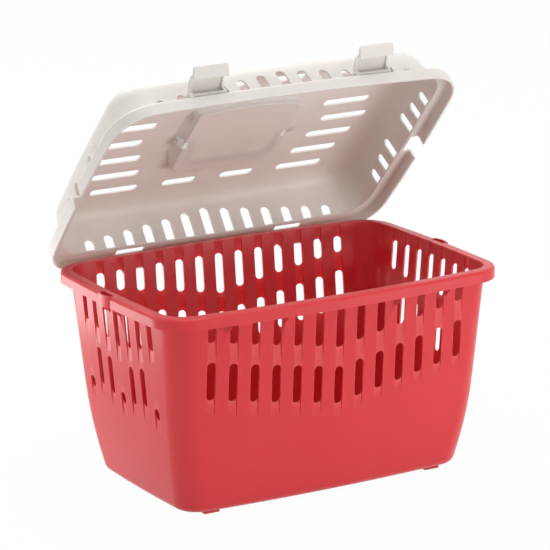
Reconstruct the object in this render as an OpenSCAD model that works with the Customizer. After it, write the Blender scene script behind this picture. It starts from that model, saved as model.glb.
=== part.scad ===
// Plastic pet keeper: a slotted basket with a hinged slotted lid, two latches
// and a bail handle that folds into a pocket in the lid.
// Origin at the centre of the base's underside, +Z up, front towards -Y.

/* [Basket] */
// Outside length of the basket wall at the rim
basket_l = 350; // [340:0.1:360]
// Outside depth of the basket wall at the rim
basket_w = 235; // [230:0.1:244]
// Height of the rim above the base's underside
basket_h = 196.1; // [192:0.1:204]
// Corner radius of the wall, seen from above
basket_r = 25.5; // [24:0.5:30]
// Wall thickness
wall_t = 1.8; // [1.6:0.1:2.4]
// Base thickness
base_t = 2.5; // [2:0.1:3.2]
// Radius where the wall meets the base
base_r = 9; // [8:0.5:14]
// Wall lean, inwards per mm down from the rim
wall_lean = 0.083; // [0.07:0.001:0.09]
// Depth below the rim at which the wall starts to curl inwards
curl_start = 108.6; // [100:0.1:120]
// Inward curl per square mm below that depth
wall_curl = 0.00095; // [0.0007:0.00005:0.0011]
// Radius of the long walls' outward bow
side_bow = 1670; // [1400:10:3000]
// Radius of the end walls' outward bow
end_bow = 1880; // [1600:10:3000]

/* [Feet] */
// Length of a foot pad
foot_l = 18; // [14:0.5:22]
// Depth of a foot pad from front to back
foot_w = 11; // [9:0.5:14]
// How far a foot pad stands below the base
foot_h = 2.8; // [2:0.1:3.5]
// Distance of the pads' middles in from the ends of the rim
foot_end_in = 55; // [52:0.5:60]
// Distance of the pads' middles in from the sides of the rim
foot_side_in = 46; // [44:0.5:50]

/* [Basket rim] */
// How far the lip stands out from the wall
lip_out = 9.2; // [8.6:0.1:9.6]
// Height of the lip from its lower edge to the rim
lip_h = 11.1; // [10.6:0.1:11.5]
// Thickness of the lip
lip_t = 2; // [1.6:0.1:2.2]
// Rounding of the rim's outer edge
rim_r = 2.7; // [2:0.1:3]
// Length of the recess in the middle of each end of the rim
recess_l = 23; // [20:0.5:23]
// How far the recess bulges beyond the lip
recess_out = 2.8; // [2:0.1:2.9]
// Height of the webs' feet above the base's underside
web_z = 174.5; // [168:0.1:176]
// Thickness of the webs
web_t = 2; // [1.6:0.1:2.4]
// Distance of the front and back webs from a fitting's middle
web_x = 28.6; // [27:0.1:30]

/* [Basket slots] */
// Slot width
slot_w = 9; // [8:0.1:9.6]
// Depth of the upright grooves below each slot outside and above it inside
groove_t = 1.2; // [0.8:0.1:1.2]
// Inset of a groove's sides from those of its slot
groove_in = 0.2; // [0.1:0.05:0.4]
// Spacing of the slot columns in the long walls
pitch = 22; // [21.5:0.1:22.4]
// Spacing of the slot columns in the end walls
end_pitch = 21.3; // [20.5:0.1:22]
// Top of the upper slots
upper_top = 183.8; // [182:0.1:184]
// Bottom of the upper slots at the outermost column of a long wall
upper_bottom = 168.1; // [166:0.1:170]
// Top of the lower slots at the outermost column of a long wall
lower_top = 149.4; // [147:0.1:151]
// Bottom of the lower slots at the outermost column of a long wall
lower_bottom = 112.9; // [108:0.1:117]
// How much lower each slot is than its outer neighbour in a long wall
slot_step = 3.9; // [3.5:0.01:4.1]
// Bottom of the upper slots at the outermost column of an end wall
end_upper_bottom = 155.3; // [152:0.1:157]
// Top of the lower slots at the outermost column of an end wall
end_lower_top = 136.9; // [134:0.1:138]
// Bottom of the lower slots at the outermost column of an end wall
end_lower_bottom = 100.4; // [96:0.1:103]
// How much lower each slot is than its outer neighbour in an end wall
end_step = 3.7; // [3.4:0.01:4]
// Bottom of the short slots in the end walls
short_bottom = 88.4; // [85:0.1:90]
// Top of the short slots in the end walls
short_top = 99.6; // [98:0.1:102]

/* [Lid] */
// Gap between the rim and the closed lid's shelf
seat_gap = 0.3; // [0.2:0.05:0.5]
// How far the lid's side walls stand outside the basket's, at the lid's datum
lid_side_out = 0.8; // [0.8:0.1:1.8]
// How far the lid's end walls stand inside the basket's, at the lid's datum
lid_end_in = 0.5; // [0:0.1:0.5]
// Depth of the lid's datum below its shelf
datum_drop = 9.6; // [9:0.1:10]
// Height of the inside of the top plate above the shelf's underside
lid_h = 43.6; // [42:0.1:48]
// Thickness of the lid
lid_t = 1.8; // [1.6:0.1:2.2]
// Corner radius of the lid wall, seen from above
lid_r = 30; // [28:0.5:31]
// Radius where the lid wall meets the top plate, inside
lid_top_r = 22; // [18:0.5:24]
// Lean of the lid's end walls, inwards per mm up
lid_end_lean = 0.157; // [0.14:0.001:0.18]
// Lean of the lid's side walls, inwards per mm up
lid_side_lean = 0.214; // [0.19:0.001:0.23]
// Radius of the bow of the lid's side walls
lid_bow = 3200; // [3000:10:9000]
// How far the lid's lip stands out from its wall
lid_lip_out = 12; // [11.8:0.1:12.5]
// Thickness of the lid's lip
lid_lip_t = 2; // [1.8:0.1:2.2]
// Height of the lid's lip from its lower edge to the shelf's underside
lid_lip_h = 10.4; // [9.8:0.1:10.6]
// Width of the notch in the middle of each end of the lid
notch_w = 23.6; // [23.6:0.1:26]
// Angle at which the lid is held open
lid_open = 46.8; // [0:0.1:58]

/* [Lid slots] */
// Width of the slots in the lid's walls
lid_slot_w = 9.4; // [8:0.1:10]
// Width of the slots in the top plate
top_slot_w = 9.2; // [8:0.1:10]
// Top of the lid's side slots above the datum, at the outermost column
lid_slot_top = 22.3; // [18:0.1:23]
// How much higher each side slot is than its outer neighbour
lid_slot_step = 2.75; // [2.6:0.01:3]
// Top of the lid's end slots above the datum, at the outermost column
lid_end_top = 25.5; // [23:0.1:27]
// How much higher each end slot is than its outer neighbour
lid_end_step = 2.93; // [2.7:0.01:3.2]
// Spacing of the rows of slots in the top plate
row_pitch = 25.7; // [25:0.1:26]
// How far the rows' middle lies towards the hinge from the lid's middle
row_shift = 1; // [0:0.1:2]
// Length of the long slots in the top plate
row_slot_l = 50.9; // [48:0.1:52]
// Nearest end of the outermost rows' long slots from the middle
row_start = 77.2; // [75:0.1:78]
// How much further out each row starts than its outer neighbour
row_step = 6.9; // [6:0.1:7]
// Nearest end of the short slots from the middle
short_start = 13.7; // [12:0.1:15]
// Length of the short slots in the top plate
short_l = 36.5; // [35:0.1:38]

/* [Hinge] */
// Distance of the hinges and latches from the middle
fitting_x = 88; // [87.5:0.1:88.5]
// Radius of the hinge bar
bar_r = 1.9; // [1.6:0.05:2]
// How far the bar's axis lies inside the rim lip's face
bar_in = 1.3; // [1.2:0.1:1.5]
// Depth of the bar's axis below the rim lip's lower edge
bar_drop = 2.2; // [2:0.1:2.4]
// Width of a hinge hook
hook_w = 24.4; // [22:0.1:24.6]
// Outside radius of a hinge hook
hook_r = 4.3; // [4.1:0.05:4.4]
// Gap between a hook and the brackets beside it
hook_gap = 0.4; // [0.3:0.05:0.6]
// Clearance round a hook where it passes the rim's lip
hook_room = 0.8; // [0.6:0.1:1]
// Thickness of the brackets that carry a hinge bar
bracket_t = 2.2; // [1.8:0.1:2.6]
// Width of the windows over the hinge hooks
window_w = 30; // [27:0.1:31]
// Radial clearance in the hinges and pivots
pin_gap = 0.06; // [0.03:0.01:0.1]

/* [Latches] */
// Width of a latch's finger tab
tab_w = 36; // [35:0.1:38]
// Width of a latch's body
latch_w = 35; // [34:0.1:35]
// Length of a latch from its pivot to its tip
latch_l = 28.6; // [27:0.1:31]
// Thickness of a latch's skin
latch_t = 1.8; // [1.6:0.1:2]
// Depth of the hollow inside a latch
latch_deep = 1.8; // [1:0.1:3]
// Radius of a latch's barrel
barrel_r = 2.2; // [2:0.1:2.4]
// Radius of a latch's pins
latch_pin_r = 1.5; // [1.2:0.05:1.6]
// Height of the latch pivot above the lid's shelf
pivot_h = 3; // [2.9:0.1:3.4]
// Distance of the latch pivot in from the lid lip's face
pivot_in = 5.5; // [5:0.1:6]
// Clearance between a latch and the lips it wraps
latch_gap = 0.5; // [0.4:0.05:0.8]
// How far a closed latch reaches under the rim's lip
catch_in = 1.5; // [1:0.1:1.8]
// Rounding of the tab's corners
tab_r = 3; // [2:0.1:4]
// Thickness of the ears that carry a latch
ear_t = 2.2; // [1.8:0.1:2.6]
// Radius of an ear round its pin
ear_r = 3.2; // [3:0.1:3.4]
// Gap between an ear and the latch
ear_gap = 0.5; // [0.4:0.1:0.8]
// Angle at which the latches stand open
latch_open = 121; // [0:1:130]

/* [Handle] */
// Outside width of the handle
handle_l = 100; // [96:0.5:106]
// Reach of the handle from its pivot
handle_reach = 39; // [36:0.5:42]
// Thickness of the handle
handle_t = 4.6; // [4:0.1:5]
// Width of the handle's grip
grip_w = 10; // [8:0.5:12]
// Width of the handle's arms
arm_w = 7; // [6:0.5:8]
// Outer corner radius of the handle
handle_r = 12; // [10:0.5:14]
// Inner corner radius of the handle
grip_r = 6; // [4:0.5:8]
// Radius of the handle's pins
handle_pin_r = 1.8; // [1.5:0.05:1.9]
// How far the pins stand out from the handle's arms
pin_out = 15.6; // [15.4:0.1:16]

/* [Handle pocket] */
// Room between the handle and the ends of the pocket's floor
pocket_end_room = 7; // [6:0.5:8]
// Room between the handle's grip and the side of the pocket's floor
pocket_side_room = 11.3; // [11:0.1:13]
// How far the pocket stands below the top plate
pocket_h = 9.4; // [9.2:0.1:9.8]
// Corner radius of the pocket's floor
pocket_r = 7; // [6:0.5:9]
// Radius of the bow of the pocket's long sides
pocket_bow = 255; // [240:5:300]
// How much further out the pocket's ends stand at the top plate
pocket_flare = 9; // [8:0.5:10]
// Radius of the bow of the pocket's ends at the top plate
flare_bow = 132; // [120:2:150]
// Width of the bosses that carry the handle's pins
boss_w = 10; // [9:0.5:11]
// Gap between the handle and the pocket's floor
floor_gap = 0.3; // [0.3:0.05:0.6]

/* [Hidden] */

$fn = 48;
corner_steps = 8;
side_steps = 8;
end_steps = 4;
round_steps = 5;
wall_steps = 5;
reach = 600;
bury = 0.8;
edge_r = 0.6;

lip_z = basket_h - lip_h;
flange_z = basket_h - wall_t;
curl_z = basket_h - curl_start;

lid_l = basket_l - 2 * lid_end_in;
lid_w = basket_w + 2 * lid_side_out;
seat_z = basket_h + seat_gap;
datum = seat_z - datum_drop;
shelf_z = seat_z + lid_t;
plate_z = seat_z + lid_h;
lid_lip_z = seat_z - lid_lip_h;

hinge_y = basket_w / 2 + lip_out - bar_in;
hinge_z = lip_z - bar_drop;
bore_r = bar_r + pin_gap;

pivot_y = -(lid_w / 2 + lid_lip_out - pivot_in);
pivot_z = shelf_z + pivot_h;

pocket_l = handle_l + 2 * pocket_end_room;
pocket_w = 2 * (handle_reach + pocket_side_room);
floor_top = plate_z + lid_t - pocket_h;
handle_z = floor_top + handle_t / 2 + floor_gap;

// Inset of the basket's outer face at height z.
function wall_in(z) = wall_lean * (basket_h - z) + wall_curl * pow(max(curl_z - z, 0), 2);

// How far a bow pulls a wall in at distance x from its middle.
function bow_at(x, bow) = x * x / (2 * bow);

// Smooth bend from a to c, pulled towards b.
function bend(a, b, c) = [
    for (i = [0 : round_steps])
        let (t = i / round_steps)
        a * pow(1 - t, 2) + b * 2 * t * (1 - t) + c * pow(t, 2)
];

// One ring of a rectangle whose sides bow outwards and whose corners are round.
// g = [height, half length, half depth, corner radius, bow of sides, bow of ends].
function ring(g) =
    let (
        r = g[3],
        side_turn = atan((g[1] - r) / g[4]),
        end_turn = atan((g[2] - r) / g[5]),
        side_pull = bow_at(g[1] - r, g[4]),
        end_pull = bow_at(g[2] - r, g[5]),
        cx = g[1] - end_pull - r * cos(end_turn),
        cy = g[2] - side_pull - r * cos(side_turn),
        side_x = cx + r * sin(side_turn),
        end_y = cy + r * sin(end_turn)
    )
    [
        for (k = [0 : 3])
            let (
                sx = k == 0 || k == 3 ? 1 : -1,
                sy = k < 2 ? 1 : -1,
                along_x = k % 2 == 0,
                n = along_x ? side_steps : end_steps
            )
            for (i = [0 : corner_steps + n - 1])
                let (
                    t = min(i, corner_steps) / corner_steps,
                    a = end_turn + (90 - side_turn - end_turn) * (along_x ? t : 1 - t),
                    s = 1 - 2 * (i - corner_steps) / n
                )
                i <= corner_steps ? [sx * (cx + r * cos(a)), sy * (cy + r * sin(a)), g[0]]
                : along_x ? [sx * side_x * s, sy * (g[2] - side_pull * s * s), g[0]]
                : [sx * (g[1] - end_pull * s * s), sy * end_y * s, g[0]]
    ];

// Skin through rings, closed by its first and last ring.
module loft(rings) {
    n = 4 * corner_steps + 2 * side_steps + 2 * end_steps;
    m = len(rings);
    points = [
        for (g = rings)
            each ring(g)
    ];
    sides = [
        for (j = [0 : m - 2])
            for (i = [0 : n - 1])
                let (a = j * n + i, b = j * n + (i + 1) % n)
                each [[a, a + n, b + n], [a, b + n, b]]
    ];
    first = [for (i = [0 : n - 1]) i];
    last = [for (i = [n - 1 : -1 : 0]) (m - 1) * n + i];
    polyhedron(points, concat([first], sides, [last]));
}

// Upright slot with round ends, in the plane of a wall.
module slot(w, z0, z1) {
    translate([-w / 2, z0 + w / 2])
        square([w, z1 - z0 - w]);
    for (z = [z0 + w / 2, z1 - w / 2])
        translate([0, z])
            circle(d = w);
}

// Slot cut square at its foot.
module arch(w, z0, z1) {
    translate([-w / 2, z0])
        square([w, z1 - z0 - w / 2]);
    translate([0, z1 - w / 2])
        circle(d = w);
}

// Prisms that pass through both long walls, or both end walls.
module through_sides() {
    rotate([90, 0, 0])
        linear_extrude(height = reach, center = true)
            children();
}

module through_ends() {
    rotate([90, 0, 90])
        linear_extrude(height = reach, center = true)
            children();
}

// A plate of thickness t across x, drawn as [y, z].
module plate_at(x, t) {
    translate([x, 0, 0])
        rotate([90, 0, 90])
            linear_extrude(height = t, center = true)
                children();
}

module basket_shell() {
    fillet_end = 90 - atan(wall_lean + 2 * wall_curl * (curl_z - base_r));
    function at(z, inset, r) = [z, basket_l / 2 - inset, basket_w / 2 - inset, r, side_bow, end_bow];
    function fillet(r, z0, t) =
        let (
            z1 = z0 + r * (1 - cos(fillet_end)),
            far = wall_in(z1) + t + r * sin(fillet_end)
        )
        [
            for (i = [0 : round_steps])
                let (a = fillet_end * i / round_steps)
                at(z0 + r * (1 - cos(a)), far - r * sin(a), basket_r - t - r * (sin(fillet_end) - sin(a)))
        ];
    outer_z = base_r * (1 - cos(fillet_end));
    inner_z = base_t + (base_r - wall_t) * (1 - cos(fillet_end));
    outer = [
        for (i = [1 : wall_steps])
            let (z = outer_z + (curl_z - outer_z) * i / wall_steps)
            at(z, wall_in(z), basket_r)
    ];
    lip = [
        at(flange_z, wall_in(flange_z), basket_r),
        at(flange_z, lip_t - lip_out, basket_r + lip_out - lip_t),
        at(lip_z, lip_t - lip_out, basket_r + lip_out - lip_t),
        at(lip_z, -lip_out, basket_r + lip_out),
        at(basket_h - rim_r, -lip_out, basket_r + lip_out),
        at(basket_h - rim_r * 0.3, rim_r * 0.3 - lip_out, basket_r + lip_out - rim_r * 0.3),
        at(basket_h, rim_r - lip_out, basket_r + lip_out - rim_r),
        at(basket_h, wall_t - edge_r, basket_r - wall_t + edge_r),
        at(basket_h - edge_r, wall_t + wall_in(basket_h - edge_r), basket_r - wall_t)
    ];
    inner = [
        for (i = [0 : wall_steps])
            let (z = curl_z + (inner_z - curl_z) * i / wall_steps)
            at(z, wall_in(z) + wall_t, basket_r - wall_t)
    ];
    floor_fillet = fillet(base_r - wall_t, base_t, wall_t);
    floor_rings = [for (i = [round_steps - 1 : -1 : 0]) floor_fillet[i]];
    loft(concat(fillet(base_r, 0, 0), outer, lip, inner, floor_rings));
}

// Foot and head of each slot in column i of the side walls, and of the end walls.
function side_column(i) =
    let (drop = slot_step * (6 - abs(i)))
    [[upper_bottom - drop, upper_top], [lower_bottom - drop, lower_top - drop]];

function end_column(i) =
    let (drop = end_step * (3 - abs(i)))
    [
        [end_upper_bottom - drop, upper_top],
        i % 3 == 0 ? [short_bottom, short_top] : [end_lower_bottom - drop, end_lower_top - drop]
    ];

module basket_slots() {
    through_sides()
        for (i = [-6 : 6])
            translate([i * pitch, 0])
                for (z = side_column(i))
                    slot(slot_w, z[0], z[1]);
    through_ends()
        for (i = [-3 : 3])
            translate([i * end_pitch, 0])
                for (z = end_column(i))
                    slot(slot_w, z[0], z[1]);
}

// Upright grooves of one slot, cut into the leaning wall's outside below the slot and
// into its inside above, drawn about y = 0 on a wall whose face at the rim lies at x = face.
module grooves(face, z) {
    run = groove_t / wall_lean + 1;
    half = slot_w / 2 - groove_in;
    translate([face - wall_in(z[0]) - groove_t, -half, z[0] - run])
        cube([2 * wall_t, 2 * half, run + half]);
    translate([face - wall_in(z[1]) - 3 * wall_t + groove_t, -half, z[1] - half])
        cube([2 * wall_t, 2 * half, run + half]);
}

module basket_grooves() {
    for (i = [-6 : 6])
        for (z = side_column(i))
            for (s = [-1, 1])
                translate([i * pitch, 0, 0])
                    rotate([0, 0, 90 * s])
                        grooves(basket_w / 2 - bow_at(i * pitch, side_bow), z);
    for (i = [-3 : 3])
        for (z = end_column(i))
            both_ends()
                translate([0, i * end_pitch, 0])
                    grooves(basket_l / 2 - bow_at(i * end_pitch, end_bow), z);
}

// Places its children at both ends, drawn at the right end.
module both_ends() {
    for (a = [0, 180])
        rotate([0, 0, a])
            children();
}

// Outline of a web under the rim's flange, top being the wall's face at the rim.
module web(top) {
    polygon([
        [top - wall_in(web_z) - bury, web_z],
        [top + lip_out - lip_t + bury, lip_z + bury],
        [top + lip_out - lip_t + bury, flange_z + bury],
        [top - bury, flange_z + bury]
    ]);
}

// Web at x on the side wall s.
module side_web(x, s) {
    plate_at(x, web_t)
        scale([s, 1])
            web(basket_w / 2 - bow_at(x, side_bow));
}

// Web at y on the end wall s.
module end_web(y, s) {
    translate([0, y, 0])
        rotate([90, 0, 0])
            linear_extrude(height = web_t, center = true)
                scale([s, 1])
                    web(basket_l / 2 - bow_at(y, end_bow));
}

// Plate under the back flange that carries one end of a hinge bar.
module hinge_bracket(x) {
    top = basket_w / 2 - bow_at(x, side_bow);
    boss_r = bar_r * 1.6;
    plate_at(x, bracket_t) {
        translate([hinge_y, hinge_z])
            circle(r = boss_r);
        polygon([
            [top - wall_in(web_z) - bury, web_z],
            [hinge_y, hinge_z - boss_r],
            [hinge_y, hinge_z + boss_r],
            [top + lip_out - bury, lip_z + bury],
            [top + lip_out - bury, flange_z + bury],
            [top - bury, flange_z + bury]
        ]);
    }
}

// Hinge bar with its two brackets, about x.
module hinge_bar(x) {
    side = hook_w / 2 + hook_gap + bracket_t / 2;
    for (s = [-1, 1])
        hinge_bracket(x + s * side);
    translate([x - side, hinge_y, hinge_z])
        rotate([0, 90, 0])
            cylinder(r = bar_r, h = 2 * side);
}

// Outline of the bulge in the middle of the right end of the rim, drawn in by inset.
module bulge(inset) {
    half = recess_l / 2 - inset / 2;
    far = basket_l / 2 + lip_out + recess_out;
    r = (pow(recess_l / 2, 2) + pow(recess_out, 2)) / (2 * recess_out);
    intersection() {
        translate([far - r, 0])
            circle(r = r - inset, $fn = 96);
        translate([basket_l / 2 + lip_t + inset, -half])
            square([lip_out + recess_out, 2 * half]);
    }
}

module basket() {
    color([0.80, 0.22, 0.24])
        difference() {
            union() {
                basket_shell();
                for (x = [-fitting_x, fitting_x]) {
                    hinge_bar(x);
                    for (s = [-1, 1]) {
                        side_web(x - web_x, s);
                        side_web(x + web_x, s);
                    }
                }
                for (s = [-1, 1])
                    for (y = [-end_pitch / 2, end_pitch / 2])
                        end_web(y, s);
                both_ends()
                    translate([0, 0, lip_z])
                        linear_extrude(height = lip_h)
                            bulge(0);
                for (x = [-1, 1])
                    for (y = [-1, 1])
                        translate([x * (basket_l / 2 - foot_end_in), y * (basket_w / 2 - foot_side_in), 0])
                            translate([-foot_l / 2, -foot_w / 2, -foot_h])
                                cube([foot_l, foot_w, foot_h + bury]);
            }
            basket_slots();
            basket_grooves();
            both_ends()
                translate([0, 0, lip_z - 1])
                    linear_extrude(height = lip_h + 2)
                        bulge(lip_t);
            for (x = [-fitting_x, fitting_x])
                translate([x - hook_w / 2 - hook_gap, basket_w / 2, lip_z - 1])
                    cube([hook_w + 2 * hook_gap, lip_out + 1, hinge_z + hook_r + hook_room - lip_z + 1]);
        }
}

// Places its children, drawn as on the closed lid, on the lid as it stands open.
module on_lid() {
    translate([0, hinge_y, hinge_z])
        rotate([-lid_open, 0, 0])
            translate([0, -hinge_y, -hinge_z])
                children();
}

module lid_shell() {
    round_end = 90 - atan((lid_end_lean + lid_side_lean) / 2);
    lip_in = lid_lip_out - lid_lip_t;
    soft = lid_lip_t * 0.8;
    function at(z, out) =
        let (h = z - datum)
        [
            z,
            lid_l / 2 - lid_end_lean * h + out,
            lid_w / 2 - lid_side_lean * h + out,
            lid_r + out,
            lid_bow,
            end_bow
        ];
    function flat_at(z, out) = [z, lid_l / 2 + out, lid_w / 2 + out, lid_r + out, lid_bow, end_bow];
    function crown(r, z1, t) =
        let (z0 = z1 - r * (1 - cos(round_end)))
        [
            for (i = [0 : round_steps])
                let (
                    a = round_end * i / round_steps,
                    d = r * (sin(round_end) - sin(a)),
                    wall = at(z0, t)
                )
                [z1 - r * (1 - cos(a)), wall[1] - d, wall[2] - d, wall[3] - d, lid_bow, end_bow]
        ];
    inner_crown = crown(lid_top_r, plate_z, 0);
    crown_foot = inner_crown[round_steps][0];
    inner_wall = [
        for (i = [1 : 3])
            at(crown_foot + (seat_z + 1 - crown_foot) * i / 3, 0)
    ];
    lip = [
        flat_at(seat_z, 0),
        flat_at(seat_z, lip_in - soft),
        flat_at(seat_z - soft * 0.3, lip_in - soft * 0.3),
        flat_at(seat_z - soft, lip_in),
        flat_at(lid_lip_z, lip_in),
        flat_at(lid_lip_z, lid_lip_out),
        flat_at(shelf_z - soft, lid_lip_out),
        flat_at(shelf_z - soft * 0.3, lid_lip_out - soft * 0.3),
        flat_at(shelf_z, lid_lip_out - soft),
        flat_at(shelf_z, soft),
        at(shelf_z + soft, lid_t)
    ];
    outer_crown = crown(lid_top_r + lid_t, plate_z + lid_t, lid_t);
    outer = [for (i = [round_steps : -1 : 0]) outer_crown[i]];
    loft(concat(inner_crown, inner_wall, lip, outer));
}

module lid_slots() {
    foot = shelf_z + lid_t / 5;
    through_sides()
        for (i = [-6 : 6])
            translate([i * pitch, 0])
                arch(lid_slot_w, foot, datum + lid_slot_top + lid_slot_step * (6 - abs(i)));
    through_ends()
        for (i = [1 : 3])
            for (s = [-1, 1])
                translate([s * i * end_pitch, 0])
                    arch(lid_slot_w, foot, datum + lid_end_top + lid_end_step * (3 - i));
    translate([0, row_shift, plate_z - 1])
        linear_extrude(height = lid_t + 2)
            for (i = [-3 : 3])
                for (a = [-90, 90])
                    translate([0, i * row_pitch])
                        rotate([0, 0, a]) {
                            start = row_start + row_step * (3 - abs(i));
                            slot(top_slot_w, start, start + row_slot_l);
                            if (abs(i) == 3)
                                slot(top_slot_w, short_start, short_start + short_l);
                        }
}

// Pocket body up to height z1, or its cavity, both drawn in by t.
module pocket(t, z0, z1) {
    hx = pocket_l / 2 - t;
    hy = pocket_w / 2 - t;
    r = pocket_r - t / 2;
    soft = pocket_r * 0.2;
    loft([
        [z0, hx - soft, hy - soft, r, pocket_bow, flare_bow * 9],
        [z0 + soft * 0.3, hx - soft * 0.3, hy - soft * 0.3, r, pocket_bow, flare_bow * 9],
        [z0 + soft, hx, hy, r, pocket_bow, flare_bow * 9],
        [z1, hx + pocket_flare * (z1 - z0) / pocket_h, hy + soft, r, pocket_bow, flare_bow]
    ]);
}

// Boss in each end of the pocket that carries a pin of the handle.
module pin_bosses() {
    far = handle_l / 2 + pin_out - bury;
    for (s = [-1, 1])
        translate([s * (far - boss_w / 2), 0, floor_top + pocket_h / 2 - lid_t / 2])
            cube([boss_w, boss_w, pocket_h - lid_t], center = true);
}

// Holes in the pocket's floor beside the bosses, and the slits that let its ends give.
module pocket_holes() {
    for (s = [-1, 1]) {
        translate([s * (pocket_l / 2 - boss_w * 0.22), boss_w * 0.3, floor_top - lid_t / 2])
            cube([boss_w * 0.75, boss_w, lid_t * 1.4], center = true);
        translate([s * (pocket_l / 2 + boss_w / 2), -boss_w * 0.62, floor_top + lid_t])
            cube([boss_w, lid_t / 2, lid_t * 3], center = true);
    }
}

// Open ring that clips round a hinge bar, with the neck that hangs it from the lip.
module hook(x) {
    neck_in = lid_w / 2 + lid_lip_out - lid_lip_t - bow_at(x, lid_bow);
    mouth = 2 * hook_r;
    difference() {
        plate_at(x, hook_w) {
            translate([hinge_y, hinge_z])
                circle(r = hook_r);
            translate([neck_in, hinge_z])
                square([hinge_y + hook_r - neck_in, lid_lip_z - hinge_z + lid_lip_t]);
        }
        plate_at(x, hook_w + 2)
            translate([hinge_y, hinge_z]) {
                circle(r = bore_r);
                polygon([[0, 0], [-mouth / 16, mouth], [-mouth, mouth], [-mouth, mouth / 16]]);
            }
    }
}

// Fin on the shelf that carries one end of a latch's pin.
module ear(x) {
    wall_y = -(lid_w / 2 - bow_at(x, lid_bow));
    plate_at(x, ear_t) {
        translate([pivot_y, pivot_z])
            circle(r = ear_r);
        polygon([
            [pivot_y - ear_r, shelf_z - bury],
            [pivot_y - ear_r, pivot_z],
            [pivot_y, pivot_z + ear_r],
            [wall_y, pivot_z + 2 * ear_r],
            [wall_y, shelf_z - bury]
        ]);
    }
}

module ears(x) {
    side = tab_w / 2 + ear_gap + ear_t / 2;
    difference() {
        for (s = [-1, 1])
            ear(x + s * side);
        translate([x, pivot_y, pivot_z])
            rotate([0, 90, 0])
                cylinder(r = latch_pin_r + pin_gap, h = 2 * side + 2 * ear_t, center = true);
    }
}

module lid_tray() {
    window_y = lid_w / 2 - edge_r;
    window_far = lid_w / 2 + lid_lip_out - lid_lip_t - bow_at(fitting_x, lid_bow) - bury;
    difference() {
        union() {
            lid_shell();
            pocket(0, floor_top - lid_t, plate_z + bury);
            pin_bosses();
        }
        pocket(lid_t, floor_top, plate_z + lid_t + 1);
        lid_slots();
        pocket_holes();
        for (s = [-1, 1])
            translate([s * reach / 2, 0, lid_lip_z])
                cube([reach - lid_l - 2 * lid_t + 1, notch_w, 2 * (shelf_z - lid_lip_z + 1.5)], center = true);
        for (x = [-fitting_x, fitting_x])
            translate([x - window_w / 2, window_y, seat_z - 1])
                cube([window_w, window_far - window_y, lid_t + 2]);
        translate([0, 0, handle_z])
            rotate([0, 90, 0])
                cylinder(r = handle_pin_r + pin_gap, h = handle_l + 4 * pin_out, center = true);
    }
}

module lid() {
    color([0.90, 0.87, 0.83])
        on_lid() {
            lid_tray();
            for (x = [-fitting_x, fitting_x]) {
                hook(x);
                ears(x);
            }
        }
}

// Latch as it hangs closed, its pivot on the x axis.
module latch_body() {
    face = -(pivot_in + latch_gap);
    back = face - latch_deep;
    skin = back - latch_t;
    nose_z = lip_z - pivot_z - latch_gap;
    nose_y = -pivot_y - (basket_w / 2 + lip_out - bow_at(fitting_x, side_bow)) + catch_in;
    tab_back = -latch_t * 1.4;
    arm = barrel_r - latch_t;
    outer = concat(
        [[0, barrel_r]],
        bend([face, barrel_r], [skin, barrel_r], [skin, nose_z * 0.25]),
        bend([skin, nose_z * 0.35], [skin, nose_z * 0.85], [face * 0.8, nose_z * 1.08]),
        bend([face * 0.7, nose_z * 1.12], [tab_back, nose_z * 1.2], [tab_back, nose_z * 1.3])
    );
    tab = [
        [tab_back, -latch_l],
        [tab_back + latch_t * 1.1, -latch_l],
        [nose_y, nose_z - latch_t * 0.7],
        [nose_y, nose_z]
    ];
    hollow = concat(
        [[nose_y * 0.3, nose_z]],
        bend([face * 0.88, nose_z * 0.98], [face, nose_z * 0.96], [face - latch_deep * 0.3, nose_z * 0.8]),
        bend([face - latch_deep * 0.4, nose_z * 0.7], [back, nose_z * 0.4], [back, nose_z * 0.2]),
        bend([back, nose_z * 0.15], [back, arm], [face, arm]),
        [[0, arm]]
    );
    rim = concat(
        [[nose_y * 0.3, nose_z]],
        bend([face * 0.88, nose_z * 0.98], [face, nose_z * 0.96], [face, nose_z * 0.8]),
        [
            [face, -pivot_h * 1.5],
            [face * 0.9, -barrel_r * 1.2],
            [0, -barrel_r]
        ]
    );
    color([0.88, 0.86, 0.84]) {
        difference() {
            union() {
                plate_at(0, latch_w)
                    circle(r = barrel_r);
                plate_at(0, latch_w)
                    polygon(concat(outer, tab, hollow));
                for (s = [-1, 1])
                    plate_at(s * (latch_w - latch_t) / 2, latch_t)
                        polygon(concat(outer, tab, rim));
                plate_at(0, tab_w)
                    polygon(concat([[tab_back, nose_z * 1.2]], tab));
            }
            for (s = [-1, 1])
                translate([s * tab_w / 2, 0, -latch_l])
                    difference() {
                        cube([2 * tab_r, latch_l, 2 * tab_r], center = true);
                        translate([-s * tab_r, 0, tab_r])
                            rotate([90, 0, 0])
                                cylinder(r = tab_r, h = latch_l + 1, center = true);
                    }
        }
        rotate([0, 90, 0])
            cylinder(r = latch_pin_r, h = tab_w + 2 * ear_gap + 2 * ear_t - bury, center = true);
    }
}

module latch_at(x) {
    on_lid()
        translate([x, pivot_y, pivot_z])
            rotate([-latch_open, 0, 0])
                latch_body();
}

module latch_left() {
    latch_at(-fitting_x);
}

module latch_right() {
    latch_at(fitting_x);
}

// Plan of a bail of outside half width half and reach y1, its pivot line on the x axis.
module bail_outline(half, y1, r) {
    translate([-half, 0])
        square([2 * half, y1 - r]);
    translate([-half + r, 0])
        square([2 * (half - r), y1]);
    for (s = [-1, 1])
        translate([s * (half - r), y1 - r])
            circle(r = r);
}

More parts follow.
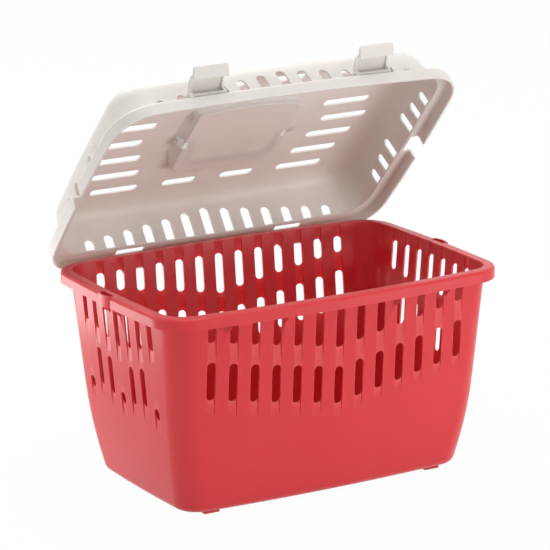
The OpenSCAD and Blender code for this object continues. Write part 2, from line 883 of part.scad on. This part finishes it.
module handle() {
    pin_l = pin_out + arm_w / 2;
    color([0.88, 0.86, 0.84])
        on_lid()
            translate([0, 0, handle_z]) {
                translate([0, 0, -handle_t / 2])
                    linear_extrude(height = handle_t)
                        difference() {
                            bail_outline(handle_l / 2, handle_reach, handle_r);
                            translate([0, -1])
                                bail_outline(handle_l / 2 - arm_w, handle_reach - grip_w + 1, grip_r);
                        }
                for (s = [-1, 1])
                    translate([s * (handle_l - arm_w) / 2, 0, 0]) {
                        rotate([0, 90, 0])
                            cylinder(r = handle_t / 2, h = arm_w, center = true);
                        rotate([0, 90 * s, 0])
                            cylinder(r = handle_pin_r, h = pin_l);
                    }
            }
}

basket();
lid();
latch_left();
latch_right();
handle();
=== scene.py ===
from math import cos, radians, sin

import bmesh
import bpy
from mathutils import Matrix, Vector


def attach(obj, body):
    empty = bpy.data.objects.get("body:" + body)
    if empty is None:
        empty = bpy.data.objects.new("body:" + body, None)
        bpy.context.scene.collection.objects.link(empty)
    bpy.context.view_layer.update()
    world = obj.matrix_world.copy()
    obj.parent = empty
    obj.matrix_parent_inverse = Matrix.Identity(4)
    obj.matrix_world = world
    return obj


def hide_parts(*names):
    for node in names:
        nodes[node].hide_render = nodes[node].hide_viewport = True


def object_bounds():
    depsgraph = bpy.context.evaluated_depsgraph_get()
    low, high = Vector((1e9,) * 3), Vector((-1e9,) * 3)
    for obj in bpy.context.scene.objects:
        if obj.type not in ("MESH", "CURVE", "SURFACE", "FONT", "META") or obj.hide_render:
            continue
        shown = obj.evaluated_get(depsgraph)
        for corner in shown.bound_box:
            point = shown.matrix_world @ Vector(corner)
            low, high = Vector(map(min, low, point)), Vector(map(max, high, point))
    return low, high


MM = 0.001

# The mouldings' meshes.
WELD = 0.002 * MM
UNDERSIDE = -0.01 * MM
UPRIGHT_TILT = 0.004
SQUARE_ON = 0.9999
RIM_FOOT = 184.9 * MM
SHELL_CREASE = 25
FITTING_CREASE = 30
LATCH_EDGE = 0.35 * MM
HANDLE_EDGE = 1.2 * MM
BEND_TO_ROUND = 40
FLAT_BEND = 1

# The plastics.
THIN_WALL = 1.3 * MM
SHEEN_EDGE = 0.35 * MM
PLASTIC_IOR = 1.49
PLASTIC_SHINE = 0.36
STREAK_STRETCH = 0.18
CLOUD_SHARE = 0.55
SHINIER = 0.015
DULLER = 0.025
WAVE_STRENGTH = 0.25
WAVE_DEPTH = 0.12 * MM
GRAIN_STRENGTH = 0.35

# A colour Mix node's sockets, which share their names with its other kinds.
MIX_A, MIX_B, MIX_RESULT = 6, 7, 2

# The studio.
FLOOR_HALF = 6.0
FLOOR_WHITE = 0.86
SHADOW_SHARE = 0.03
SEEN_WHITE = 1.0
DOME_LIGHT = 0.45

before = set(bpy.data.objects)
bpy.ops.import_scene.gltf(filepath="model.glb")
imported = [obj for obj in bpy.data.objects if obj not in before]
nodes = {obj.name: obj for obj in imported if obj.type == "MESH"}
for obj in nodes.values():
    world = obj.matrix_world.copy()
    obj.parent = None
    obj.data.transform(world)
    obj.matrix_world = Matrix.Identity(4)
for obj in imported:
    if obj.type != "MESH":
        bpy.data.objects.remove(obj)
cad_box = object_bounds()


# ---------------------------------------------------------------- node helpers

def new_material(name):
    """An empty material, its nodes cleared: (material, nodes, link function)."""
    material = bpy.data.materials.new(name)
    material.use_nodes = True
    tree = material.node_tree
    tree.nodes.clear()
    return material, tree.nodes, tree.links.new


def node(tree_nodes, kind, **settings):
    """A new node with its settings given by name."""
    made = tree_nodes.new(kind)
    for key, value in settings.items():
        setattr(made, key, value)
    return made


def ramp(tree_nodes, *stops):
    """A colour ramp with the given (place, grey level or colour) stops."""
    made = tree_nodes.new("ShaderNodeValToRGB")
    elements = made.color_ramp.elements
    while len(elements) < len(stops):
        elements.new(0.5)
    for element, (place, colour) in zip(elements, stops):
        element.position = place
        element.color = (*colour, 1) if isinstance(colour, tuple) else (colour, colour, colour, 1)
    return made


def noise(tree_nodes, link, place, scale, detail, roughness):
    made = node(tree_nodes, "ShaderNodeTexNoise")
    made.inputs["Scale"].default_value = scale
    made.inputs["Detail"].default_value = detail
    made.inputs["Roughness"].default_value = roughness
    link(place, made.inputs["Vector"])
    return made


# ---------------------------------------------------------------- plastics

def moulded_plastic(
    name, light, deep, glow, painted_glow_share, milky, milk_reach, roughness, grain, flow_turn
):
    """Injection-moulded plastic.

    light and deep are the two ends of its colour variation. glow is a painted
    glow: the lighter colour painted into thin walls and along the edges of openings
    as if light shone through them, and its share says how much of it shows. milky is
    the share of light that wanders through the wall, and milk_reach how far each
    colour of it gets. grain is the depth of the fine texture, and flow_turn the
    direction of the melt streaks.
    """
    material, tree, link = new_material(name)
    place = node(tree, "ShaderNodeTexCoord").outputs["Object"]

    streak_place = node(tree, "ShaderNodeMapping")
    streak_place.inputs["Rotation"].default_value = flow_turn
    streak_place.inputs["Scale"].default_value = (1.0, 1.0, STREAK_STRETCH)
    link(place, streak_place.inputs["Vector"])
    stretched = streak_place.outputs["Vector"]
    streaks = noise(tree, link, stretched, scale=28, detail=4, roughness=0.55)
    clouds = noise(tree, link, place, scale=7, detail=3, roughness=0.5)
    blend = node(tree, "ShaderNodeMix", data_type="FLOAT")
    blend.inputs["Factor"].default_value = CLOUD_SHARE
    link(streaks.outputs["Fac"], blend.inputs["A"])
    link(clouds.outputs["Fac"], blend.inputs["B"])
    colour = ramp(tree, (0.36, deep), (0.64, light))
    link(blend.outputs["Result"], colour.inputs["Fac"])

    # Painted glow: thin walls and the edges of openings get a lighter colour painted in, as if
    # light shone through them. The inside occlusion measures how thin the wall is.
    thickness = node(tree, "ShaderNodeAmbientOcclusion", samples=8, inside=True, only_local=True)
    thickness.inputs["Distance"].default_value = THIN_WALL
    painted_glow_where_thin = ramp(tree, (0.25, painted_glow_share), (0.85, 0.0))
    link(thickness.outputs["AO"], painted_glow_where_thin.inputs["Fac"])
    # The base colour with the painted glow mixed in.
    colour_with_painted_glow = node(tree, "ShaderNodeMix", data_type="RGBA")
    link(painted_glow_where_thin.outputs["Color"], colour_with_painted_glow.inputs["Factor"])
    link(colour.outputs["Color"], colour_with_painted_glow.inputs[MIX_A])
    colour_with_painted_glow.inputs[MIX_B].default_value = (*glow, 1)

    grain_noise = noise(tree, link, place, scale=1900, detail=2, roughness=0.6)
    ripple = noise(tree, link, place, scale=60, detail=2, roughness=0.5)
    scuffs = noise(tree, link, place, scale=90, detail=3, roughness=0.6)
    gloss = ramp(tree, (0.35, roughness - SHINIER), (0.7, roughness + DULLER))
    link(scuffs.outputs["Fac"], gloss.inputs["Fac"])

    soft_edge = node(tree, "ShaderNodeBevel", samples=4)
    soft_edge.inputs["Radius"].default_value = SHEEN_EDGE
    waves = node(tree, "ShaderNodeBump")
    waves.inputs["Strength"].default_value = WAVE_STRENGTH
    waves.inputs["Distance"].default_value = WAVE_DEPTH
    link(ripple.outputs["Fac"], waves.inputs["Height"])
    link(soft_edge.outputs["Normal"], waves.inputs["Normal"])
    fine = node(tree, "ShaderNodeBump")
    fine.inputs["Strength"].default_value = GRAIN_STRENGTH
    fine.inputs["Distance"].default_value = grain
    link(grain_noise.outputs["Fac"], fine.inputs["Height"])
    link(waves.outputs["Normal"], fine.inputs["Normal"])

    shader = node(tree, "ShaderNodeBsdfPrincipled")
    link(colour_with_painted_glow.outputs[MIX_RESULT], shader.inputs["Base Color"])
    link(gloss.outputs["Color"], shader.inputs["Roughness"])
    link(fine.outputs["Normal"], shader.inputs["Normal"])
    shader.inputs["Subsurface Weight"].default_value = milky
    shader.inputs["Subsurface Radius"].default_value = milk_reach
    shader.inputs["Subsurface Scale"].default_value = MM
    shader.inputs["IOR"].default_value = PLASTIC_IOR
    shader.inputs["Specular IOR Level"].default_value = PLASTIC_SHINE
    out = node(tree, "ShaderNodeOutputMaterial")
    link(shader.outputs["BSDF"], out.inputs["Surface"])
    return material


def red_polypropylene():
    return moulded_plastic(
        "red_polypropylene",
        light=(0.67, 0.040, 0.048),
        deep=(0.64, 0.033, 0.041),
        # Painted glow: a lighter red painted into thin walls and opening edges, as if light shone
        # through them.
        glow=(0.80, 0.10, 0.10),
        painted_glow_share=0.55,
        milky=0.45,
        milk_reach=(4.5, 0.6, 0.5),
        roughness=0.30,
        grain=0.02 * MM,
        flow_turn=(0, 0, 0),
    )


def pale_polypropylene():
    return moulded_plastic(
        "pale_polypropylene",
        light=(0.70, 0.675, 0.635),
        deep=(0.66, 0.63, 0.59),
        # Painted glow: a lighter cream painted into thin walls and opening edges, as if light
        # shone through them.
        glow=(0.77, 0.74, 0.70),
        painted_glow_share=0.3,
        milky=0.5,
        milk_reach=(4.0, 3.7, 3.4),
        roughness=0.42,
        grain=0.02 * MM,
        flow_turn=(radians(43), 0, 0),
    )


def fitting_polypropylene():
    return moulded_plastic(
        "fitting_polypropylene",
        light=(0.73, 0.705, 0.67),
        deep=(0.70, 0.67, 0.63),
        # Painted glow: a lighter cream painted into thin walls and edges, as if light shone
        # through them.
        glow=(0.76, 0.72, 0.67),
        painted_glow_share=0.4,
        milky=0.4,
        milk_reach=(3.0, 2.6, 2.3),
        roughness=0.40,
        grain=0.015 * MM,
        flow_turn=(0, radians(90), 0),
    )


# ---------------------------------------------------------------- mouldings

def is_upright(face):
    """True for a face that stands straight up and square, as a draw groove's do."""
    level = max(abs(face.normal.x), abs(face.normal.y))
    return abs(face.normal.z) < UPRIGHT_TILT and level > SQUARE_ON


def smooth_copy(node_name, material, crease, soft_edge=0.0, trim=None):
    """The moulding as one welded, smooth-shaded mesh that stands for its CAD node.

    Edges steeper than crease degrees stay sharp, or are rounded by soft_edge
    metres where that is given. trim changes the welded mesh first.
    """
    new_name = node_name + "_moulding"
    mesh = nodes[node_name].data.copy()
    mesh.name = new_name
    work = bmesh.new()
    work.from_mesh(mesh)
    bmesh.ops.remove_doubles(work, verts=work.verts, dist=WELD)
    bmesh.ops.dissolve_degenerate(work, edges=work.edges, dist=WELD)
    if trim:
        trim(work)
    if soft_edge:
        bmesh.ops.dissolve_limit(
            work, angle_limit=radians(FLAT_BEND), verts=work.verts, edges=work.edges
        )
    work.to_mesh(mesh)
    work.free()
    piece = bpy.data.objects.new(new_name, mesh)
    bpy.context.scene.collection.objects.link(piece)
    mesh.materials.clear()
    mesh.materials.append(material)
    if soft_edge:
        rounding = piece.modifiers.new("rounding", "BEVEL")
        rounding.width = soft_edge
        rounding.segments = 3
        rounding.limit_method = "ANGLE"
        rounding.angle_limit = radians(BEND_TO_ROUND)
        rounding.use_clamp_overlap = True
        bake_modifiers(piece)
    piece.data.shade_smooth()
    piece.data.set_sharp_from_angle(angle=radians(crease))
    if trim:
        keep_grooves_crisp(piece.data)
    facing = piece.modifiers.new("broad_faces_lead", "WEIGHTED_NORMAL")
    facing.keep_sharp = True
    bake_modifiers(piece)
    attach(piece, node_name)
    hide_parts(node_name)


def bake_modifiers(piece):
    """Turns a piece's modifiers into its plain mesh."""
    bpy.context.view_layer.update()
    evaluated = piece.evaluated_get(bpy.context.evaluated_depsgraph_get())
    mesh = bpy.data.meshes.new_from_object(evaluated)
    mesh.name = piece.name
    piece.modifiers.clear()
    piece.data = mesh


def keep_grooves_crisp(mesh):
    """Keeps the edges of the upright draw grooves sharp, shallow as they are."""
    work = bmesh.new()
    work.from_mesh(mesh)
    for edge in work.edges:
        if len(edge.link_faces) != 2 or max(v.co.z for v in edge.verts) > RIM_FOOT:
            continue
        if is_upright(edge.link_faces[0]) != is_upright(edge.link_faces[1]):
            edge.smooth = False
    work.to_mesh(mesh)
    work.free()


def trim_feet(work):
    """Cuts the plain feet off under the base and closes the base."""
    cut = bmesh.ops.bisect_plane(
        work,
        geom=work.verts[:] + work.edges[:] + work.faces[:],
        plane_co=(0, 0, UNDERSIDE),
        plane_no=(0, 0, 1),
        clear_inner=True,
    )
    rims = [e for e in cut["geom_cut"] if isinstance(e, bmesh.types.BMEdge)]
    bmesh.ops.holes_fill(work, edges=rims, sides=0)


# The foot pads' named inputs: how far their centres stand apart, and each pad's size.
FOOT_SIZES = {
    "Spread Along": 240 * MM,
    "Spread Across": 151 * MM,
    "Pad Length": 16 * MM,
    "Pad Width": 14.5 * MM,
    "Pad Height": 2.8 * MM,
    "Corner Radius": 1.2 * MM,
    "Seat Depth": 0.8 * MM,
}


def foot_pad_tree(material):
    """A Geometry Nodes tree that sets one rounded pad at each corner of a rectangle."""
    tree = bpy.data.node_groups.new("foot_pads", "GeometryNodeTree")
    sockets = tree.interface.new_socket
    for name, value in FOOT_SIZES.items():
        size = sockets(name=name, in_out="INPUT", socket_type="NodeSocketFloat")
        size.default_value = value
    sockets(name="Pads", in_out="OUTPUT", socket_type="NodeSocketGeometry")
    link = tree.links.new
    given = tree.nodes.new("NodeGroupInput").outputs

    corners = tree.nodes.new("GeometryNodeMeshGrid")
    corners.inputs["Vertices X"].default_value = 2
    corners.inputs["Vertices Y"].default_value = 2
    link(given["Spread Along"], corners.inputs["Size X"])
    link(given["Spread Across"], corners.inputs["Size Y"])

    outline = tree.nodes.new("GeometryNodeCurvePrimitiveQuadrilateral")
    link(given["Pad Length"], outline.inputs["Width"])
    link(given["Pad Width"], outline.inputs["Height"])
    rounded = tree.nodes.new("GeometryNodeFilletCurve")
    rounded.mode = "POLY"
    rounded.inputs["Count"].default_value = 5
    link(outline.outputs["Curve"], rounded.inputs["Curve"])
    link(given["Corner Radius"], rounded.inputs["Radius"])
    plan = tree.nodes.new("GeometryNodeFillCurve")
    link(rounded.outputs["Curve"], plan.inputs["Curve"])

    depth = tree.nodes.new("ShaderNodeMath")
    link(given["Pad Height"], depth.inputs[0])
    link(given["Seat Depth"], depth.inputs[1])
    drawn = tree.nodes.new("GeometryNodeExtrudeMesh")
    drawn.inputs["Individual"].default_value = False
    downwards = tree.nodes.new("ShaderNodeCombineXYZ")
    downwards.inputs["Z"].default_value = -1
    link(downwards.outputs["Vector"], drawn.inputs["Offset"])
    link(plan.outputs["Mesh"], drawn.inputs["Mesh"])
    link(depth.outputs["Value"], drawn.inputs["Offset Scale"])
    top = tree.nodes.new("GeometryNodeFlipFaces")
    link(plan.outputs["Mesh"], top.inputs["Mesh"])
    both = tree.nodes.new("GeometryNodeJoinGeometry")
    link(drawn.outputs["Mesh"], both.inputs["Geometry"])
    link(top.outputs["Mesh"], both.inputs["Geometry"])
    closed = tree.nodes.new("GeometryNodeMergeByDistance")
    closed.inputs["Distance"].default_value = 0.001 * MM
    link(both.outputs["Geometry"], closed.inputs["Geometry"])
    outward = tree.nodes.new("GeometryNodeFlipFaces")
    link(closed.outputs["Geometry"], outward.inputs["Mesh"])

    lift = tree.nodes.new("ShaderNodeCombineXYZ")
    link(given["Seat Depth"], lift.inputs["Z"])
    seated = tree.nodes.new("GeometryNodeTransform")
    link(outward.outputs["Mesh"], seated.inputs["Geometry"])
    link(lift.outputs["Vector"], seated.inputs["Translation"])
    placed = tree.nodes.new("GeometryNodeInstanceOnPoints")
    link(corners.outputs["Mesh"], placed.inputs["Points"])
    link(seated.outputs["Geometry"], placed.inputs["Instance"])
    real = tree.nodes.new("GeometryNodeRealizeInstances")
    link(placed.outputs["Instances"], real.inputs["Geometry"])
    painted = tree.nodes.new("GeometryNodeSetMaterial")
    painted.inputs["Material"].default_value = material
    link(real.outputs["Geometry"], painted.inputs["Geometry"])
    link(painted.outputs["Geometry"], tree.nodes.new("NodeGroupOutput").inputs["Pads"])
    return tree


def make_foot_pads(material):
    """The four pads that the basket stands on."""
    tree = foot_pad_tree(material)
    piece = bpy.data.objects.new("foot_pads", bpy.data.meshes.new("foot_pads"))
    bpy.context.scene.collection.objects.link(piece)
    maker = piece.modifiers.new("foot_pads", "NODES")
    maker.node_group = tree
    for item in tree.interface.items_tree:
        if item.in_out == "INPUT":
            maker[item.identifier] = FOOT_SIZES[item.name]
    bake_modifiers(piece)
    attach(piece, "basket")


def make_mouldings():
    """Basket, lid, latches and handle, each in its own plastic."""
    red = red_polypropylene()
    pale = pale_polypropylene()
    fitting = fitting_polypropylene()
    smooth_copy("basket", red, SHELL_CREASE, trim=trim_feet)
    make_foot_pads(red)
    smooth_copy("lid", pale, SHELL_CREASE)
    for latch in ("latch_left", "latch_right"):
        smooth_copy(latch, fitting, FITTING_CREASE, soft_edge=LATCH_EDGE)
    smooth_copy("handle", fitting, FITTING_CREASE, soft_edge=HANDLE_EDGE)


# ---------------------------------------------------------------- studio

def seen_directly(tree, link):
    """1 where the camera sees the studio, in the open, in a gloss or through plastic."""
    ray = node(tree, "ShaderNodeLightPath")
    seen = ray.outputs["Is Camera Ray"]
    for way in ("Is Glossy Ray", "Is Transmission Ray"):
        either = node(tree, "ShaderNodeMath", operation="MAXIMUM")
        link(seen, either.inputs[0])
        link(ray.outputs[way], either.inputs[1])
        seen = either.outputs["Value"]
    return seen


def studio_white(name):
    """White to the camera and in reflections, but for the share that shows the shadow."""
    material, tree, link = new_material(name)
    share = node(tree, "ShaderNodeMath", operation="MULTIPLY")
    share.inputs[1].default_value = 1 - SHADOW_SHARE
    link(seen_directly(tree, link), share.inputs[0])
    matte = node(tree, "ShaderNodeBsdfDiffuse")
    matte.inputs["Color"].default_value = (FLOOR_WHITE, FLOOR_WHITE, FLOOR_WHITE, 1)
    glow = node(tree, "ShaderNodeEmission")
    glow.inputs["Strength"].default_value = SEEN_WHITE
    both = node(tree, "ShaderNodeMixShader")
    link(share.outputs["Value"], both.inputs["Fac"])
    link(matte.outputs["BSDF"], both.inputs[1])
    link(glow.outputs["Emission"], both.inputs[2])
    out = node(tree, "ShaderNodeOutputMaterial")
    link(both.outputs["Shader"], out.inputs["Surface"])
    return material


def make_floor():
    """A flat floor under the feet."""
    low = cad_box[0][2]
    half = FLOOR_HALF
    mesh = bpy.data.meshes.new("studio_floor")
    corners = [(-half, -half, low), (half, -half, low), (half, half, low), (-half, half, low)]
    mesh.from_pydata(corners, [], [(0, 1, 2, 3)])
    mesh.materials.append(studio_white("studio_floor_white"))
    floor = bpy.data.objects.new("studio_floor", mesh)
    bpy.context.scene.collection.objects.link(floor)


def make_world():
    """White where the camera or a gloss sees it, and a plain dome of light otherwise."""
    world = bpy.data.worlds.new("studio")
    world.use_nodes = True
    tree = world.node_tree.nodes
    link = world.node_tree.links.new
    tree.clear()
    seen_white = seen_directly(tree, link)
    dome = node(tree, "ShaderNodeBackground")
    dome.inputs["Color"].default_value = (1, 1, 1, 1)
    dome.inputs["Strength"].default_value = DOME_LIGHT
    white = node(tree, "ShaderNodeBackground")
    white.inputs["Color"].default_value = (1, 1, 1, 1)
    white.inputs["Strength"].default_value = SEEN_WHITE
    both = node(tree, "ShaderNodeMixShader")
    link(seen_white, both.inputs["Fac"])
    link(dome.outputs["Background"], both.inputs[1])
    link(white.outputs["Background"], both.inputs[2])
    out = node(tree, "ShaderNodeOutputWorld")
    link(both.outputs["Shader"], out.inputs["Surface"])
    bpy.context.scene.world = world


def softbox(name, place, aim, size, watts):
    """A rectangular lamp at place, turned to aim, that the camera doesn't see."""
    lamp = bpy.data.lights.new(name, "AREA")
    lamp.shape = "RECTANGLE"
    lamp.size, lamp.size_y = size
    lamp.energy = watts
    box = bpy.data.objects.new(name, lamp)
    box.location = place
    box.visible_camera = False
    box.rotation_euler = (Vector(aim) - Vector(place)).to_track_quat("-Z", "Y").to_euler()
    bpy.context.scene.collection.objects.link(box)


def make_lights():
    middle = (0, 0, 0.15)
    softbox("left", (-2.1, 0.7, 0.9), middle, (1.6, 1.4), watts=9)
    softbox("near_left", (-0.42, 0.38, 0.065), (-0.18, 0, 0.10), (0.45, 0.12), watts=0.6)
    softbox("top", (0.1, -0.1, 2.4), middle, (2.0, 1.6), watts=27)
    softbox("above_lid", (0.4, 1.9, 1.9), middle, (1.6, 1.2), watts=26)
    softbox("front_right", (1.5, -2.5, 0.25), middle, (1.8, 0.5), watts=26)
    softbox("near_right", (0.5, -0.66, 0.13), (0.1, 0, 0.13), (0.4, 0.26), watts=0.6)


def make_camera():
    """Looks down a little on the front and the left end."""
    azimuth = 0.52202
    elevation = 0.26086
    roll = -0.01262
    right = Vector((cos(azimuth), -sin(azimuth), 0))
    ahead = Vector((sin(azimuth) * cos(elevation), cos(azimuth) * cos(elevation), -sin(elevation)))
    down = ahead.cross(right)
    turned_right = right * cos(roll) - down * sin(roll)
    turned_down = right * sin(roll) + down * cos(roll)
    place = Vector((-1.46245, -2.53727, 0.9696))
    data = bpy.data.cameras.new("camera")
    data.sensor_width = 36
    data.lens = 210.04
    camera = bpy.data.objects.new("camera", data)
    axes = Matrix((turned_right, -turned_down, -ahead)).transposed().to_4x4()
    camera.matrix_world = Matrix.Translation(place) @ axes
    bpy.context.scene.collection.objects.link(camera)
    bpy.context.scene.camera = camera


make_camera()
make_mouldings()
make_floor()
make_world()
make_lights()
bpy.context.scene.view_settings.view_transform = "Standard"
